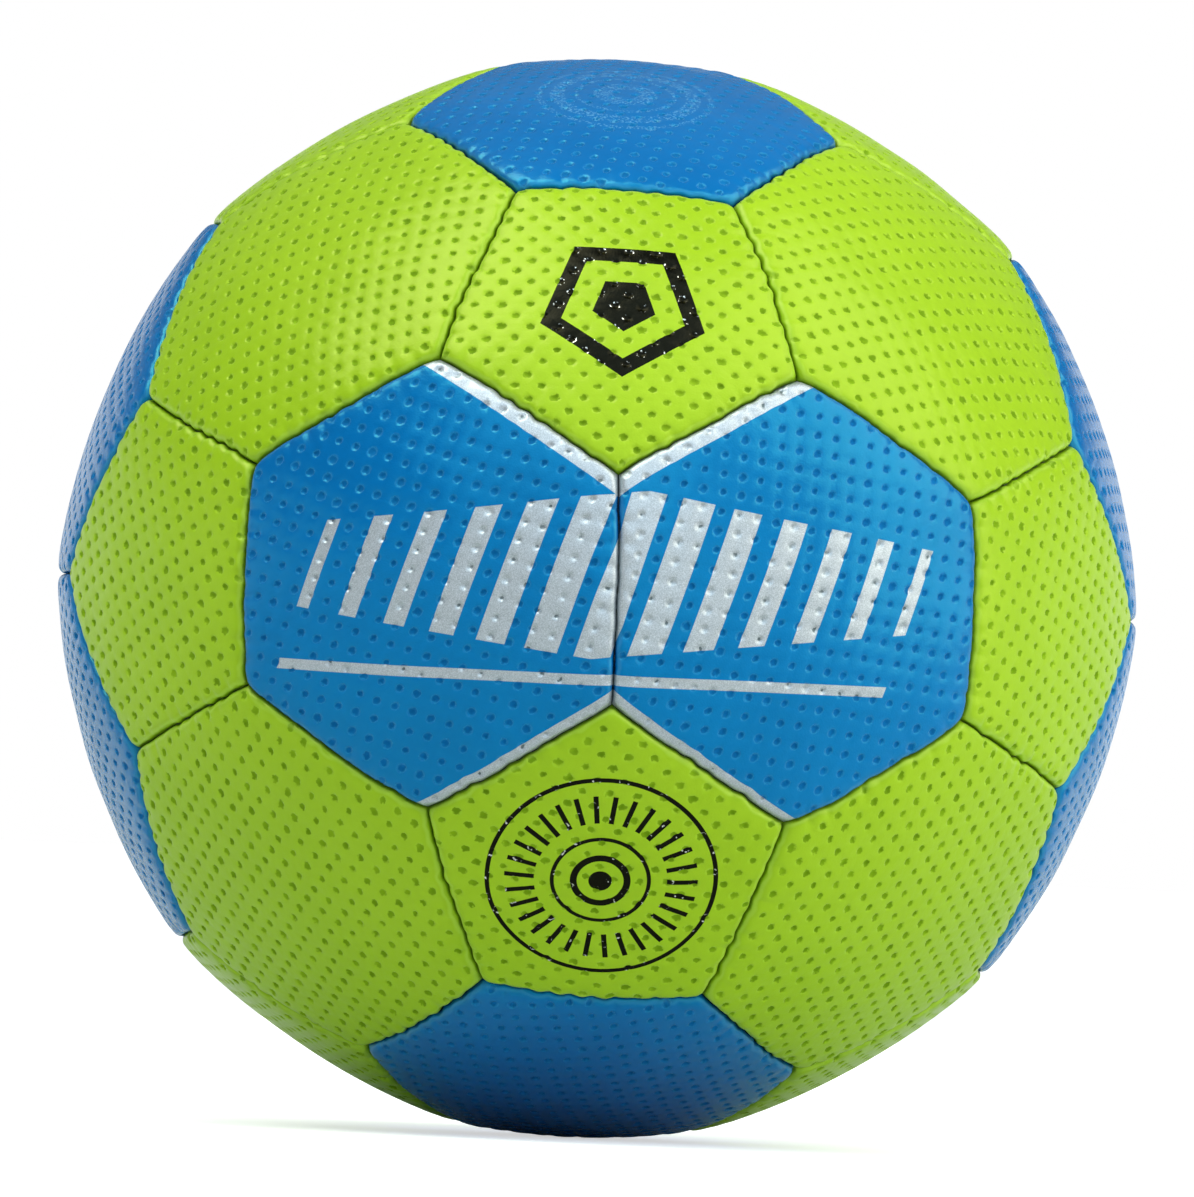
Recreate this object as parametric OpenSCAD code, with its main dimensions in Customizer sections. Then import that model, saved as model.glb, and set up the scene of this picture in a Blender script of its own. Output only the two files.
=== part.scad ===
/* [Ball] */
// Diameter of the ball over the shoulders beside its seams
ball_d = 188.8; // [186:0.2:200]
// How far the middle of a hexagon panel lies below those shoulders
hexagon_drop = 1.4; // [0.6:0.1:1.8]
// How far the middle of a pentagon panel lies below those shoulders
pentagon_drop = 1; // [0.4:0.1:1.4]

/* [Seams] */
// Depth of the groove at a seam, below the shoulders
groove_depth = 1.7; // [0.8:0.1:2]
// Radius of the roll of a panel's edge down into the groove
edge_roll_r = 6; // [4:0.5:8]
// How far the top of that roll would stand over the shoulders if it ran on
roll_over = 0.1; // [0.05:0.05:0.3]
// Thickness of the flange that is turned in along each side of a panel
flange_t = 1.2; // [0.8:0.1:1.5]

/* [Stitching] */
// Diameter of the thread where it goes through the flanges
thread_d = 0.6; // [0.4:0.05:0.8]
// Width of the thread where it is pulled flat against a flange
run_w = 0.9; // [0.8:0.05:1.1]
// Thickness of the thread there
run_t = 0.5; // [0.3:0.05:0.6]
// Distance from one stitch to the next along a seam
stitch_pitch = 3.6; // [3:0.1:7]
// Depth of the stitches below the bottom of the groove
stitch_depth = 1.5; // [1.3:0.1:1.7]
// Plain length at each end of a seam, before its first stitch
corner_plain = 3; // [2.8:0.1:6]

/* [Layers] */
// Thickness of a panel's coated skin
skin_t = 1.6; // [1.2:0.1:1.7]
// Depth of the stitched cover, from the shoulders to the space inside
cover_t = 5.2; // [5:0.1:6.4]
// Thickness of the bladder's rubber wall
bladder_t = 1.2; // [0.8:0.1:2]

/* [Valve] */
// Radius of the hole in the valve panel
valve_hole_r = 4.6; // [4.5:0.1:6]
// Radius of the valve socket's neck, which fills that hole
neck_r = 4.4; // [4.2:0.1:4.5]
// Depth of the neck's face below the middle of the valve panel
neck_recess = 0.4; // [0.2:0.1:1]
// Radius of the valve socket's barrel inside the bladder
barrel_r = 5.2; // [4.6:0.1:7]
// Length of that barrel, inwards from the bladder
barrel_length = 13; // [8:0.5:20]
// Thickness of the barrel's end wall
barrel_end_t = 1.2; // [0.8:0.1:2]
// Radius of the valve socket's bonded flange
socket_flange_r = 13; // [9:0.5:15]
// Radius of the patch round the valve hole
patch_r = 15; // [14:0.5:18]
// Thickness of that patch
patch_t = 0.8; // [0.5:0.1:1]
// Radius of the valve core's plug
core_r = 2.9; // [2.4:0.1:3.1]
// Radius of the valve core's head
core_head_r = 3.6; // [3.4:0.1:3.8]
// Thickness of the valve core's head
core_head_t = 1.1; // [0.8:0.1:1.6]
// Radius of the needle's channel through the valve core
needle_r = 1; // [0.8:0.05:1.2]
// Radius of the lead-in at the mouth of that channel
lead_in_r = 1.9; // [1.6:0.1:2.2]
// Depth of that lead-in
lead_in_depth = 0.8; // [0.4:0.1:1]
// Radius of the air hole in the barrel's end wall
air_hole_r = 1.6; // [1.2:0.1:2.2]

/* [Fits] */
// Glue line between two bonded layers
glue_gap = 0.05; // [0.02:0.01:0.1]
// Gap between the bladder and the cover round it
bladder_gap = 0.2; // [0.1:0.05:0.4]
// Gap all round the valve core in its socket
core_gap = 0.05; // [0.02:0.01:0.1]
// Gap between the thread and the flanges that it holds
thread_gap = 0.08; // [0.04:0.01:0.12]
// Gap between a lining and the thread or the patch beside it
lining_gap = 0.3; // [0.2:0.05:0.5]

/* [Hidden] */
$fn = 96;
ball_r = ball_d / 2;
cover_inner_r = ball_r - cover_t;
groove_r = ball_r - groove_depth;
stitch_r = groove_r - stitch_depth;
thread_r = thread_d / 2;
// Distance of a run of thread from the plane of its seam
run_inset = flange_t + thread_gap;
// Distance of a lining's side from the plane of the seam
lining_inset = run_inset + run_t + lining_gap;
// How far a cutting tool runs past what it cuts
overrun = 1;
// Facets round the many thin rods along the stitches
ROD_FACETS = 16;
// Height of the middle of a rolled edge's arc over the plane of the seam
roll_height = sqrt(edge_roll_r * edge_roll_r - pow(edge_roll_r - groove_depth - roll_over, 2));
// How far the cut of a rolled edge runs on past the corners of its panel, in degrees
PAST_CORNER = 4;
// How exactly two angles have to agree, in degrees
ANGLE_SLACK = 1;

// The panels' middles and corners follow from a solid whose twelve corners lie at the golden ratio.
golden = (1 + sqrt(5)) / 2;
CORNER_A = [1, 0, golden];
CORNER_B = [-1, 0, golden];
CORNER_C = [0, golden, 1];
function angle_between(a, b) = acos(a * b / norm(a) / norm(b));
// Angles at the ball's centre from a panel's middle to the middle of its side, and half along a seam
HEXAGON_ANGLE = angle_between(CORNER_A + CORNER_B + CORNER_C, CORNER_A + CORNER_B);
PENTAGON_ANGLE = angle_between(CORNER_A, 4 * CORNER_A + CORNER_B + CORNER_C);
SEAM_HALF_ANGLE = angle_between(CORNER_A + CORNER_B, 2 * CORNER_A + CORNER_B);

BLUE = [0, 0.48, 0.8];
GREEN = [0.6, 0.83, 0.15];
// Each panel: its name, the direction of its middle with the front towards -Y, and its colour
BLUE_HEXAGONS = [
    ["blue_hexagon_front_left", [-1 / golden, -golden, 0], BLUE],
    ["blue_hexagon_front_right", [1 / golden, -golden, 0], BLUE],
    ["blue_hexagon_back_left", [-1 / golden, golden, 0], BLUE],
    ["blue_hexagon_back_right", [1 / golden, golden, 0], BLUE],
    ["blue_hexagon_top_front", [0, -1 / golden, golden], BLUE],
    ["blue_hexagon_top_back", [0, 1 / golden, golden], BLUE],
    ["blue_hexagon_bottom_front", [0, -1 / golden, -golden], BLUE],
    ["blue_hexagon_bottom_back", [0, 1 / golden, -golden], BLUE],
    ["blue_hexagon_left_upper", [-golden, 0, 1 / golden], BLUE],
    ["blue_hexagon_left_lower", [-golden, 0, -1 / golden], BLUE],
    ["blue_hexagon_right_upper", [golden, 0, 1 / golden], BLUE],
    ["blue_hexagon_right_lower", [golden, 0, -1 / golden], BLUE]
];
GREEN_HEXAGONS = [
    ["green_hexagon_front_upper_left", [-1, -1, 1], GREEN],
    ["green_hexagon_front_upper_right", [1, -1, 1], GREEN],
    ["green_hexagon_front_lower_left", [-1, -1, -1], GREEN],
    ["green_hexagon_front_lower_right", [1, -1, -1], GREEN],
    ["green_hexagon_back_upper_left", [-1, 1, 1], GREEN],
    ["green_hexagon_back_upper_right", [1, 1, 1], GREEN],
    ["green_hexagon_back_lower_left", [-1, 1, -1], GREEN],
    ["green_hexagon_back_lower_right", [1, 1, -1], GREEN]
];
GREEN_PENTAGONS = [
    ["green_pentagon_front_upper", [0, -golden, 1], GREEN],
    ["green_pentagon_front_lower", [0, -golden, -1], GREEN],
    ["green_pentagon_back_upper", [0, golden, 1], GREEN],
    ["green_pentagon_back_lower", [0, golden, -1], GREEN],
    ["green_pentagon_top_left", [-1, 0, golden], GREEN],
    ["green_pentagon_top_right", [1, 0, golden], GREEN],
    ["green_pentagon_bottom_left", [-1, 0, -golden], GREEN],
    ["green_pentagon_bottom_right", [1, 0, -golden], GREEN],
    ["green_pentagon_left_front", [-golden, -1, 0], GREEN],
    ["green_pentagon_left_back", [-golden, 1, 0], GREEN],
    ["green_pentagon_right_front", [golden, -1, 0], GREEN],
    ["green_pentagon_right_back", [golden, 1, 0], GREEN]
];
HEXAGONS = concat(BLUE_HEXAGONS, GREEN_HEXAGONS);
// The panel that the valve comes up through
VALVE_PANEL = GREEN_PENTAGONS[3];

function unit(v) = v / norm(v);
// A frame at the ball's centre with +Z along one direction and +X turned towards another
function frame(along, towards) =
    let (w = unit(along))
    let (u = unit(towards - (towards * w) * w))
    let (v = cross(w, u))
    [[u[0], v[0], w[0], 0], [u[1], v[1], w[1], 0], [u[2], v[2], w[2], 0], [0, 0, 0, 1]];
// The middle of the panel in a list that lies nearest to a direction
function nearest(direction, panels) =
    let (reach = max([for (p = panels) unit(p[1]) * unit(direction)]))
    [for (p = panels) if (unit(p[1]) * unit(direction) == reach) p[1]][0];

// The two kinds of panel, by their number of sides
HEXAGON = 6;
PENTAGON = 5;
function side_angle(sides) = sides == HEXAGON ? HEXAGON_ANGLE : PENTAGON_ANGLE;
// A panel's own frame: +Z through its middle, +X towards the middle of one side
function seat(p, sides) = frame(p[1], nearest(p[1], sides == HEXAGON ? GREEN_PENTAGONS : HEXAGONS));
// Height of a panel's middle, and the radius of the dome through it and its shoulders
function crown(sides) = ball_r - (sides == HEXAGON ? hexagon_drop : pentagon_drop);
function dome_r(sides) =
    let (across = ball_r * sin(side_angle(sides)))
    let (rise = crown(sides) - ball_r * cos(side_angle(sides)))
    (across * across + rise * rise) / (2 * rise);

// Heights along the valve's axis: the neck's face, the seat of the core's head, and both ends of the barrel
neck_top = crown(PENTAGON) - neck_recess;
head_seat = neck_top - core_head_t - core_gap;
barrel_top = cover_inner_r;
barrel_end = barrel_top - barrel_length;
core_end = barrel_end + barrel_end_t + core_gap;

// The dome that a panel's layers follow, so far in from its outer surface
module dome(sides, inset) {
    translate([0, 0, crown(sides) - dome_r(sides)])
        sphere(dome_r(sides) - inset);
}

// The space between a panel's sides, so far in from the planes of its seams
module between_sides(sides, inset) {
    apex = inset / sin(side_angle(sides));
    reach = ball_r + apex;
    corner_r = reach * tan(side_angle(sides)) / cos(180 / sides);
    translate([0, 0, apex])
        rotate([0, 0, 180 / sides])
            cylinder(h = reach, r1 = 0, r2 = corner_r, $fn = sides);
}

// Puts a seam's frame on one side of a panel: +X through the seam's middle, +Z into the panel
module on_side(sides, k) {
    rotate([0, side_angle(sides) - 90, k * 360 / sides])
        children();
}

// What a rolled edge takes away along one seam: all outside an arc that ends in the plane of the seam
module outside_rolled_edge() {
    half_angle = SEAM_HALF_ANGLE + PAST_CORNER;
    rotate([0, 0, -half_angle])
        rotate_extrude(angle = 2 * half_angle)
            difference() {
                translate([groove_r - overrun, -overrun])
                    square([groove_depth + 2 * overrun, roll_height + overrun]);
                translate([ball_r + roll_over - edge_roll_r, roll_height])
                    circle(edge_roll_r);
            }
}

// Angles of the stitches along a seam, from its middle
function stitch_angles() =
    let (pitch = stitch_pitch / stitch_r * 180 / PI)
    let (half = SEAM_HALF_ANGLE - corner_plain / stitch_r * 180 / PI)
    let (steps = floor(2 * half / pitch))
    [for (k = [0 : steps]) (k - steps / 2) * pitch];

// Rods along the stitches of a seam, from one height over its plane to another
module stitch_rods(r, low, high) {
    for (a = stitch_angles())
        rotate([0, 0, a])
            translate([stitch_r, 0, low])
                cylinder(h = high - low, r = r, $fn = ROD_FACETS);
}

// A panel with square edges: a domed skin, a flange turned in along each side, and holes for thread
module square_edged_panel(p, sides) {
    difference() {
        intersection() {
            dome(sides, 0);
            between_sides(sides, 0);
        }
        sphere(cover_inner_r);
        intersection() {
            dome(sides, skin_t);
            between_sides(sides, flange_t);
        }
        for (k = [0 : sides - 1])
            on_side(sides, k)
                stitch_rods(thread_r + thread_gap, -overrun, flange_t + overrun);
        if (p == VALVE_PANEL)
            cylinder(h = ball_r, r = valve_hole_r);
    }
}

// The same panel with so many of its edges rolled down into their seams
module rolled_panel(p, sides, edges) {
    if (edges == 0)
        square_edged_panel(p, sides);
    else
        difference() {
            rolled_panel(p, sides, edges - 1);
            on_side(sides, edges - 1)
                outside_rolled_edge();
        }
}

module panel(p, sides) {
    color(p[2])
        multmatrix(seat(p, sides))
            rolled_panel(p, sides, sides);
}

// The laminated cloth and foam glued inside one panel
module lining(p, sides) {
    multmatrix(seat(p, sides))
        difference() {
            intersection() {
                dome(sides, skin_t + glue_gap);
                between_sides(sides, lining_inset);
            }
            sphere(cover_inner_r);
            if (p == VALVE_PANEL)
                cylinder(h = ball_r, r = patch_r + lining_gap);
        }
}

module linings(panels, sides) {
    color("ivory")
        for (p = panels)
            lining(p, sides);
}

// The middle of the seam between two panels, which need not lie halfway between their middles
function seam_middle(p, p_sides, q, q_sides) =
    unit(unit(p[1]) * sin(side_angle(q_sides)) + unit(q[1]) * sin(side_angle(p_sides)));

// The thread of one seam: a flat run behind each flange, joined through both flanges at each stitch
module seam_thread(p, p_sides, q, q_sides) {
    half_angle = run_w / stitch_r * 180 / PI - stitch_angles()[0];
    middle = seam_middle(p, p_sides, q, q_sides);
    normal = unit(q[1]) - (unit(q[1]) * middle) * middle;
    multmatrix(frame(normal, middle)) {
        rotate([0, 0, -half_angle])
            rotate_extrude(angle = 2 * half_angle)
                for (low = [run_inset, -run_inset - run_t])
                    translate([stitch_r - run_w / 2, low])
                        square([run_w, run_t]);
        stitch_rods(thread_r, -run_inset - run_t / 2, run_inset + run_t / 2);
    }
}

// Threads for every two panels of two lists whose middles lie no further apart than over a seam
module seam_threads(panels, sides, others, other_sides) {
    over_seam = side_angle(sides) + side_angle(other_sides) + ANGLE_SLACK;
    color("gray")
        for (i = [0 : len(panels) - 1], j = [0 : len(others) - 1])
            if (panels != others || i < j)
                if (angle_between(panels[i][1], others[j][1]) < over_seam)
                    seam_thread(panels[i], sides, others[j], other_sides);
}

module hexagon_seam_threads() {
    seam_threads(HEXAGONS, HEXAGON, HEXAGONS, HEXAGON);
}

module pentagon_seam_threads() {
    seam_threads(GREEN_PENTAGONS, PENTAGON, HEXAGONS, HEXAGON);
}

// The hollow rubber ball inside, with a hole for the valve socket's barrel
module bladder() {
    outer_r = cover_inner_r - bladder_gap;
    color("black")
        multmatrix(seat(VALVE_PANEL, PENTAGON))
            difference() {
                sphere(outer_r);
                sphere(outer_r - bladder_t);
                cylinder(h = ball_r, r = barrel_r + glue_gap);
            }
}

// The disc glued inside the valve panel round its hole
module valve_patch() {
    color("dimgray")
        multmatrix(seat(VALVE_PANEL, PENTAGON))
            difference() {
                intersection() {
                    dome(PENTAGON, skin_t + glue_gap);
                    cylinder(h = ball_r, r = patch_r);
                }
                dome(PENTAGON, skin_t + glue_gap + patch_t);
                cylinder(h = ball_r, r = valve_hole_r);
            }
}

// The rubber socket bonded into the bladder, with its neck up through the panel
module valve_socket() {
    color("dimgray")
        multmatrix(seat(VALVE_PANEL, PENTAGON))
            difference() {
                union() {
                    difference() {
                        intersection() {
                            dome(PENTAGON, skin_t + patch_t + 2 * glue_gap);
                            cylinder(h = ball_r, r = socket_flange_r);
                        }
                        sphere(cover_inner_r);
                    }
                    translate([0, 0, barrel_end])
                        cylinder(h = barrel_length + overrun, r = barrel_r);
                    translate([0, 0, barrel_top])
                        cylinder(h = neck_top - barrel_top, r = neck_r);
                }
                translate([0, 0, head_seat])
                    cylinder(h = ball_r - head_seat, r = core_head_r + core_gap);
                translate([0, 0, core_end - core_gap])
                    cylinder(h = ball_r - core_end, r = core_r + core_gap);
                translate([0, 0, barrel_end - overrun])
                    cylinder(h = barrel_length, r = air_hole_r);
            }
}

// The removable plug in the socket, with the channel for the inflation needle
module valve_core() {
    color("black")
        multmatrix(seat(VALVE_PANEL, PENTAGON))
            difference() {
                union() {
                    translate([0, 0, core_end])
                        cylinder(h = neck_top - core_end, r = core_r);
                    translate([0, 0, neck_top - core_head_t])
                        cylinder(h = core_head_t, r = core_head_r);
                }
                translate([0, 0, core_end - overrun])
                    cylinder(h = neck_top - core_end + 2 * overrun, r = needle_r);
                translate([0, 0, neck_top - lead_in_depth])
                    cylinder(h = lead_in_depth, r1 = needle_r, r2 = lead_in_r);
            }
}

for (p = HEXAGONS)
    panel(p, HEXAGON);
for (p = GREEN_PENTAGONS)
    panel(p, PENTAGON);
linings(BLUE_HEXAGONS, HEXAGON);  // blue_hexagon_linings
linings(GREEN_HEXAGONS, HEXAGON);  // green_hexagon_linings
linings(GREEN_PENTAGONS, PENTAGON);  // green_pentagon_linings
hexagon_seam_threads();
pentagon_seam_threads();
bladder();
valve_patch();
valve_socket();
valve_core();
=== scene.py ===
"""The looks of a hand-stitched handball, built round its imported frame.

Lengths are in millimetres until a mesh is made. A point's flat place is where it lay on its panel before the
panel was sewn in: to the right of the panel's middle and up from it, as seen from outside the ball.
"""
import math

import bpy
import numpy as np
from mathutils import Matrix, Vector
from mathutils.geometry import delaunay_2d_cdt


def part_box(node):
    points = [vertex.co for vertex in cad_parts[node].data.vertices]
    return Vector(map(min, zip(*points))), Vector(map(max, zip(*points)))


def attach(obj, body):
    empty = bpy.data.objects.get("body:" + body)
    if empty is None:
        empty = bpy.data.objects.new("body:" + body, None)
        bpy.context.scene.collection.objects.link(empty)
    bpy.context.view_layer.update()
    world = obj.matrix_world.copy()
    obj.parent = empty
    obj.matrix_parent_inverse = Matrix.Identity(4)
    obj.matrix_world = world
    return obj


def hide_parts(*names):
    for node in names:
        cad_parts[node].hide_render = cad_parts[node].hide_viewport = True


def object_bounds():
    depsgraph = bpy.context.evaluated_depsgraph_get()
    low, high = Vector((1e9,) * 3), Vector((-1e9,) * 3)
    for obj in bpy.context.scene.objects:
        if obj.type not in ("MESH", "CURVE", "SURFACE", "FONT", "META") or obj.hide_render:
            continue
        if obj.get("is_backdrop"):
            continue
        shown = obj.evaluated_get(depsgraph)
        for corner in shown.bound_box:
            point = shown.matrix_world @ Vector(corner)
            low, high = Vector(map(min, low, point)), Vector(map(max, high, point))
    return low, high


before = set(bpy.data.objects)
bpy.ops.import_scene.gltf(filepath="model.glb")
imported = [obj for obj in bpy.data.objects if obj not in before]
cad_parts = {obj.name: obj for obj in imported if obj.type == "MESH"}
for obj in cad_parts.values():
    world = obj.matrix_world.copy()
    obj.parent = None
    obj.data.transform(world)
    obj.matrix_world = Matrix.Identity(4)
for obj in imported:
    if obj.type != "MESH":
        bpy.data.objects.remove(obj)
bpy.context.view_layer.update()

MM = 0.001
SEED = 7

# The ball and its panels
GOLDEN = (1 + math.sqrt(5)) / 2
BALL_R = 94.4
FLAT_R = 93.6
GROOVE_R = 92.7
INNER_R = 89.2
DROP = {6: 1.4, 5: 1.0}
LEATHERS = ("blue_", "green_")
SKIN_T = 1.6
FLANGE_T = 1.2
SEAM_GAP = 0.06

# The roll of a panel's edge into the groove: a wide slope, and a tight lip that goes down the rest of the way
GROOVE_DEPTH = BALL_R - GROOVE_R
SLOPE_WIDTH = 4.8
SLOPE_SHARE = 0.4
LIP_WIDTH = 1.3
ROLL_POWER = 4
JUNCTION_DEPTH = 1.4

# The stitches. Each dents the surface with a tight pinch and a wide pucker, both given by their depth, their
# half width along the seam and their reach in from it
STITCH_R = 91.2
STITCH_PITCH = 3.6
STITCH_JITTER = 0.28
CORNER_PLAIN = 3.0
DENTS = ((0.42, 0.6, 1.8), (0.15, 0.85, 4.8))
PULLS = (0.2, 1.5)
PULL_FADE = 1.3
PULL_LEAST = 0.3
SCALLOP = 0.45
SCALLOP_MEAN = 0.5
SCALLOP_HALF_WIDTH = 1.2
WAVES = (0.0, 1.2)
BLUE_WAVES = (-0.4, 0.4)
DRIFT = 0.22
DRIFT_SPREAD = 0.5
DRIFT_TURNS = 3
SHIFT_REACH = 2.6

# How far the hand stitching has put corners of the front off their true places: each corner's direction, and
# how far right and up it lies of its place, as seen from the front
CORNER_OFFSETS = (
    ((-0.40, -0.33, 0.85), (0.5, 0.0)),
    ((0.40, -0.33, 0.85), (-0.5, -0.4)),
    ((0.20, -0.65, 0.73), (-0.5, -0.8)),
    ((-0.73, -0.20, 0.65), (-1.1, 0.9)),
    ((-0.33, -0.85, 0.40), (-0.6, 0.8)),
    ((0.33, -0.85, 0.40), (-0.5, 0.0)),
    ((0.85, -0.40, 0.33), (-0.6, -1.0)),
    ((-0.65, -0.73, 0.20), (-0.4, 0.5)),
    ((0.00, -0.98, 0.20), (-0.2, 1.1)),
    ((0.65, -0.73, 0.20), (-0.2, -0.5)),
    ((-0.65, -0.73, -0.20), (-0.2, 0.5)),
    ((0.00, -0.98, -0.20), (0.4, -0.4)),
    ((-0.85, -0.40, -0.33), (1.2, 0.8)),
    ((-0.33, -0.85, -0.40), (0.6, -0.4)),
    ((0.85, -0.40, -0.33), (-0.3, 0.5)),
    ((0.33, -0.85, -0.40), (0.5, -0.2)),
    ((-0.73, -0.20, -0.65), (0.4, 0.5)),
    ((-0.20, -0.65, -0.73), (0.2, 1.1)),
    ((-0.40, -0.33, -0.85), (0.5, 1.0)),
    ((0.20, -0.65, -0.73), (0.2, 0.3)),
    ((0.40, -0.33, -0.85), (-0.8, 0.0)),
)
OFFSET_REACH = 20.0
OFFSET_LIMIT = 2.0

# The dimples, on a square lattice whose diagonal lies turned by so many degrees on each panel that shows.
# They are a little longer along that diagonal than across it, and none is quite like the next. Shares are of
# the way from a dimple's middle to its rim.
DIMPLE_PITCH = 3.33
DIMPLE_HALF_LENGTH = 0.76
DIMPLE_HALF_WIDTH = 0.62
DIMPLE_SPREAD = 0.16
DIMPLE_JITTER = 0.13
DIMPLE_DEPTH = 0.33
DIAGONAL_TURNS = {
    "green_pentagon_front_lower": -3,
    "green_pentagon_front_upper": 0,
    "green_pentagon_left_front": -18,
    "green_pentagon_right_front": 18,
    "blue_hexagon_front_left": 30,
    "blue_hexagon_front_right": 38,
    "blue_hexagon_bottom_front": 58,
    "blue_hexagon_top_front": 29,
    "green_hexagon_front_lower_left": 84,
    "green_hexagon_front_upper_left": -23,
    "green_hexagon_front_lower_right": -82,
    "green_hexagon_front_upper_right": -38,
}
DIMPLE_RIM = 0.03
DIMPLE_RIM_TOP = 1.3
DIMPLE_RIM_HALF_WIDTH = 0.3
DIMPLE_FLOOR_SHARE = 0.45
DIMPLE_RIM_SHARE = 1.1
DIMPLE_RINGS = (0.42, 0.78, 1.08, 1.5)
DIMPLE_CORNERS = 8
DIMPLE_CLEAR = 1.55
DIMPLE_TO_SEAM = 0.8
RINGS_TO_SEAM = (0.1, 0.3)
NO_DIMPLE = 9.0
DIMPLE_SHARE_LIMIT = 2.0
LUMP = 0.1
LUMP_LENGTHS = (14.0, 19.0, 27.0)
LUMP_STRENGTHS = (0.5, 1)

# The rows of points beside a seam: distance from it, and spacing along it
SEAM_ROWS = (
    (0.1, 0.46),
    (0.24, 0.46),
    (0.45, 0.46),
    (0.75, 0.46),
    (1.15, 0.5),
    (1.65, 0.6),
    (2.3, 0.8),
    (3.1, 1.0),
    (4.1, 1.2),
    (5.3, 1.4),
)
EDGE_STEP = 0.46
INNER_STEP = 6.0

# Where the outer side of a flange has a row of points between the groove and the inside
WALL_TURN_R = 91.55

# A panel's unwrapped map: how far the flat places that it holds reach, the room for each part of the mesh,
# and which strip the wall of the valve's hole has
UV_REACH = 41.0
UV_EDGE = 0.02
UV_MAIN = 0.86
UV_STRIP = 0.018
UV_STRIP_MARGIN = 0.2
UV_CAP = 0.08
UV_HOLE_STRIP = 4

# The valve, in the panel whose middle this is
VALVE_NODE = "green_pentagon_back_lower"
VALVE_HOLE_R = 4.6
VALVE_HOLE_ROLL = 0.8
VALVE_HOLE_DROP = 0.5
VALVE_HOLE_RINGS = (0.0, 0.06, 0.18, 0.4, 0.75, 1.3)
VALVE_HOLE_CORNERS = 72
LATHE_CORNERS = 64
NECK_R = 4.4
NECK_TOP = 93.0
BARREL_R = 5.2
BARREL_END = 76.2
AIR_HOLE_R = 1.6
SOCKET_FLANGE_R = 13.0
FLANGE_FOOT = 88.25
FLANGE_TOP = 90.0
FLANGE_MIDDLE = 90.85
HEAD_R = 3.6
HEAD_T = 1.1
CORE_R = 2.9
CORE_END = 77.45
CORE_GAP = 0.05
HEAD_SEAT = 91.85
NEEDLE_R = 1.0
LEAD_IN_R = 1.9
LEAD_IN_DEPTH = 0.8
SOCKET_ROUNDING = 0.3
CORE_ROUNDING = 0.25
ROUNDING_ROOM = 0.45
ROUNDING_STEPS = 4

# The thread where it shows in the slit between two panels
THREAD_R = 0.32
THREAD_TOP_R = 92.75
THREAD_SHOWN = 1.5
THREAD_END_SHARE = 0.04
THREAD_RINGS = 7
THREAD_CORNERS = 10

# The prints, on flat places
PRINT_BLUR = 0.06
PAIR_HALF = 34.15
BAR_SLANT = 0.35
BAR_PITCH = 9.0
BAR_HALF_WIDTHS = (3.2, 1.3)
BAND_HALF_LENGTH = 55.0
BAND_HALF_HEIGHTS = (14.0, 7.5)
BAND_RISE = 2.5
UNDERLINE_DROP = 15.0
UNDERLINE_HALF_WIDTH = 0.9
PENTAGON_APOTHEM = 10.5
PENTAGON_HALF_LINE = 1.5
PENTAGON_MIDDLE_APOTHEM = 4.6
EMBLEM_RINGS = ((19.6, 0.4), (8.3, 0.35), (4.6, 0.6), (0.0, 2.0))
TICKS = 30
TICK_HALF_WIDTH = 0.45
TICK_MIDDLE_R = 14.0
TICK_HALF_LENGTH = 2.6
CLEAR_RINGS = ((15.2, 0.5), (12.0, 1.3), (8.6, 0.4), (4.0, 1.6))

# The silver stripes along the edges of the front pair, whose widths go by the panel beyond the edge
TRIM_TAPER = 0.1
TRIM_LIMIT = 9.0
TRIMMED = ("blue_hexagon_front_left", "blue_hexagon_front_right")
TRIM_WIDTHS = {"green_pentagon_front_upper": 2.9, "green_pentagon_front_lower": 2.0}

# The finishes; colours are linear
GREEN = {
    "colour": (0.35, 0.58, 0.012, 1),
    "shade": (0.332, 0.56, 0.01, 1),
    "mottle": (0.9, 0.92, 0.8, 1),
    # the dots' dark colour, partly painted shade in the hollows
    "dimple": (0.15, 0.3, 0.0, 1),
    "dimple_shares": (0.55, 1.0),
    "middle_share": 0.0,
    # painted shade beside the seams
    "edge": (0.15, 0.34, 0.008, 1),
    "seam_shade_share": 0.22,
    # painted highlight on the lips beside the seams
    "lip_highlight_share": 0.3,
    # painted shade darkening the slit
    "deep": (0.035, 0.09, 0.003, 1),
    # pale of the clear ink, also the painted highlights on dimple rims and lips
    "clear": (0.5, 0.75, 0.1, 1),
    "roughness": (0.28, 0.33),
    "specular": 0.4,
    "tint": (1, 0.95, 0.4, 1),
}
BLUE = {
    "colour": (0.0, 0.145, 0.455, 1),
    "shade": (0.0, 0.133, 0.43, 1),
    "mottle": (0.9, 0.9, 0.92, 1),
    # the dots' dark colour, partly painted shade in the hollows
    "dimple": (0.0, 0.085, 0.31, 1),
    "dimple_shares": (0.4, 0.95),
    "middle_share": 0.35,
    # painted shade beside the seams
    "edge": (0.0, 0.08, 0.24, 1),
    "seam_shade_share": 0.2,
    # painted highlight on the lips beside the seams
    "lip_highlight_share": 0.12,
    # painted shade darkening the slit
    "deep": (0.0, 0.03, 0.08, 1),
    # pale of the clear ink, also the painted highlights on dimple rims and lips
    "clear": (0.15, 0.45, 0.75, 1),
    "roughness": (0.23, 0.26),
    "specular": 0.8,
    "tint": (0.1, 1, 0.9, 1),
}

# Between these levels lies nearly all of a noise
NOISE_RANGE = (0.3, 0.7)

# How uneven the leather's colour is: the scales of the noise in it, and what each does
MOTTLE_SCALE = 0.9
MOTTLE_SHARE = 0.35
PATCH_SCALE = 0.3
CLOUD_SCALE = 0.045
DOT_WOBBLE = 0.3
WOBBLE_SCALE = 1.4
DIMPLE_ROUGHNESS = 0.85
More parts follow.
